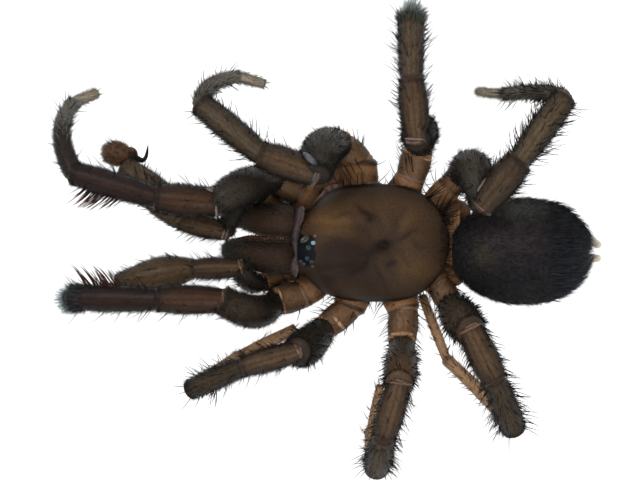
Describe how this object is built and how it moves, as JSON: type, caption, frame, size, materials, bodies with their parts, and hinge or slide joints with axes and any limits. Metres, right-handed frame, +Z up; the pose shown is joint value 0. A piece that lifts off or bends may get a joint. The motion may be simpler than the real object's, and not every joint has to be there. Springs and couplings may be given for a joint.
{
  "type": "pacific folding-door spider",
  "caption": "Life-size still model of a dark brown folding-door spider, a preserved male with arched bristly legs, long jaws, swollen palps and an egg-shaped black abdomen.",
  "frame": {"origin": "middle of the model's footprint, on the surface that it lies on", "axes": "-Y towards the jaws, +Y towards the spinnerets, +X to the animal's left, +Z up"},
  "size_m": [0.0168, 0.0196, 0.005],
  "materials": {
    "shield": "dark brown cuticle, satin and finely grained",
    "leg_cuticle": "brown cuticle, satin, with long ribs and dark bristles",
    "black_cuticle": "near-black cuticle under short dense hair",
    "orange_cuticle": "orange-brown cuticle, satin",
    "pale_cuticle": "tan cuticle, dull",
    "velvet_skin": "near-black soft skin under short hair",
    "membrane": "pinkish grey joint membrane, dull",
    "eye_lens": "clear grey lens, glossy",
    "fang": "reddish black, glossy"
  },
  "bodies": {
    "root": {"carapace": "shield", "breastplate": "orange_cuticle", "pedicel": "orange_cuticle", "jaw_membrane": "membrane", "chelicera_right": "shield", "fang_right": "fang", "spinneret_right": "pale_cuticle", "palp_right_femur": "black_cuticle", "palp_right_tibia": "leg_cuticle", "palp_right_bulb": "leg_cuticle", "chelicera_left": "shield", "fang_left": "fang", "spinneret_left": "pale_cuticle", "palp_left_femur": "black_cuticle", "palp_left_tibia": "leg_cuticle", "palp_left_bulb": "leg_cuticle", "abdomen": "velvet_skin", "leg_1_right_femur": "black_cuticle", "leg_1_right_tibia": "leg_cuticle", "leg_1_right_tarsus": "pale_cuticle", "leg_1_left_femur": "black_cuticle", "leg_1_left_tibia": "leg_cuticle", "leg_1_left_tarsus": "pale_cuticle", "leg_2_right_femur": "black_cuticle", "leg_2_right_tibia": "leg_cuticle", "leg_2_right_tarsus": "pale_cuticle", "leg_2_left_femur": "black_cuticle", "leg_2_left_tibia": "leg_cuticle", "leg_2_left_tarsus": "pale_cuticle", "leg_3_right_femur": "black_cuticle", "leg_3_right_tibia": "leg_cuticle", "leg_3_right_tarsus": "pale_cuticle", "leg_3_left_femur": "black_cuticle", "leg_3_left_tibia": "leg_cuticle", "leg_3_left_tarsus": "pale_cuticle", "leg_4_right_femur": "black_cuticle", "leg_4_right_tibia": "leg_cuticle", "leg_4_right_tarsus": "pale_cuticle", "leg_4_left_femur": "black_cuticle", "leg_4_left_tibia": "leg_cuticle", "leg_4_left_tarsus": "pale_cuticle", "eye_front_side_right": "eye_lens", "eye_front_side_left": "eye_lens", "eye_front_middle_right": "eye_lens", "eye_front_middle_left": "eye_lens", "eye_back_middle_right": "eye_lens", "eye_back_middle_left": "eye_lens", "eye_back_side_right": "eye_lens", "eye_back_side_left": "eye_lens"}
  },
  "joints": []
}
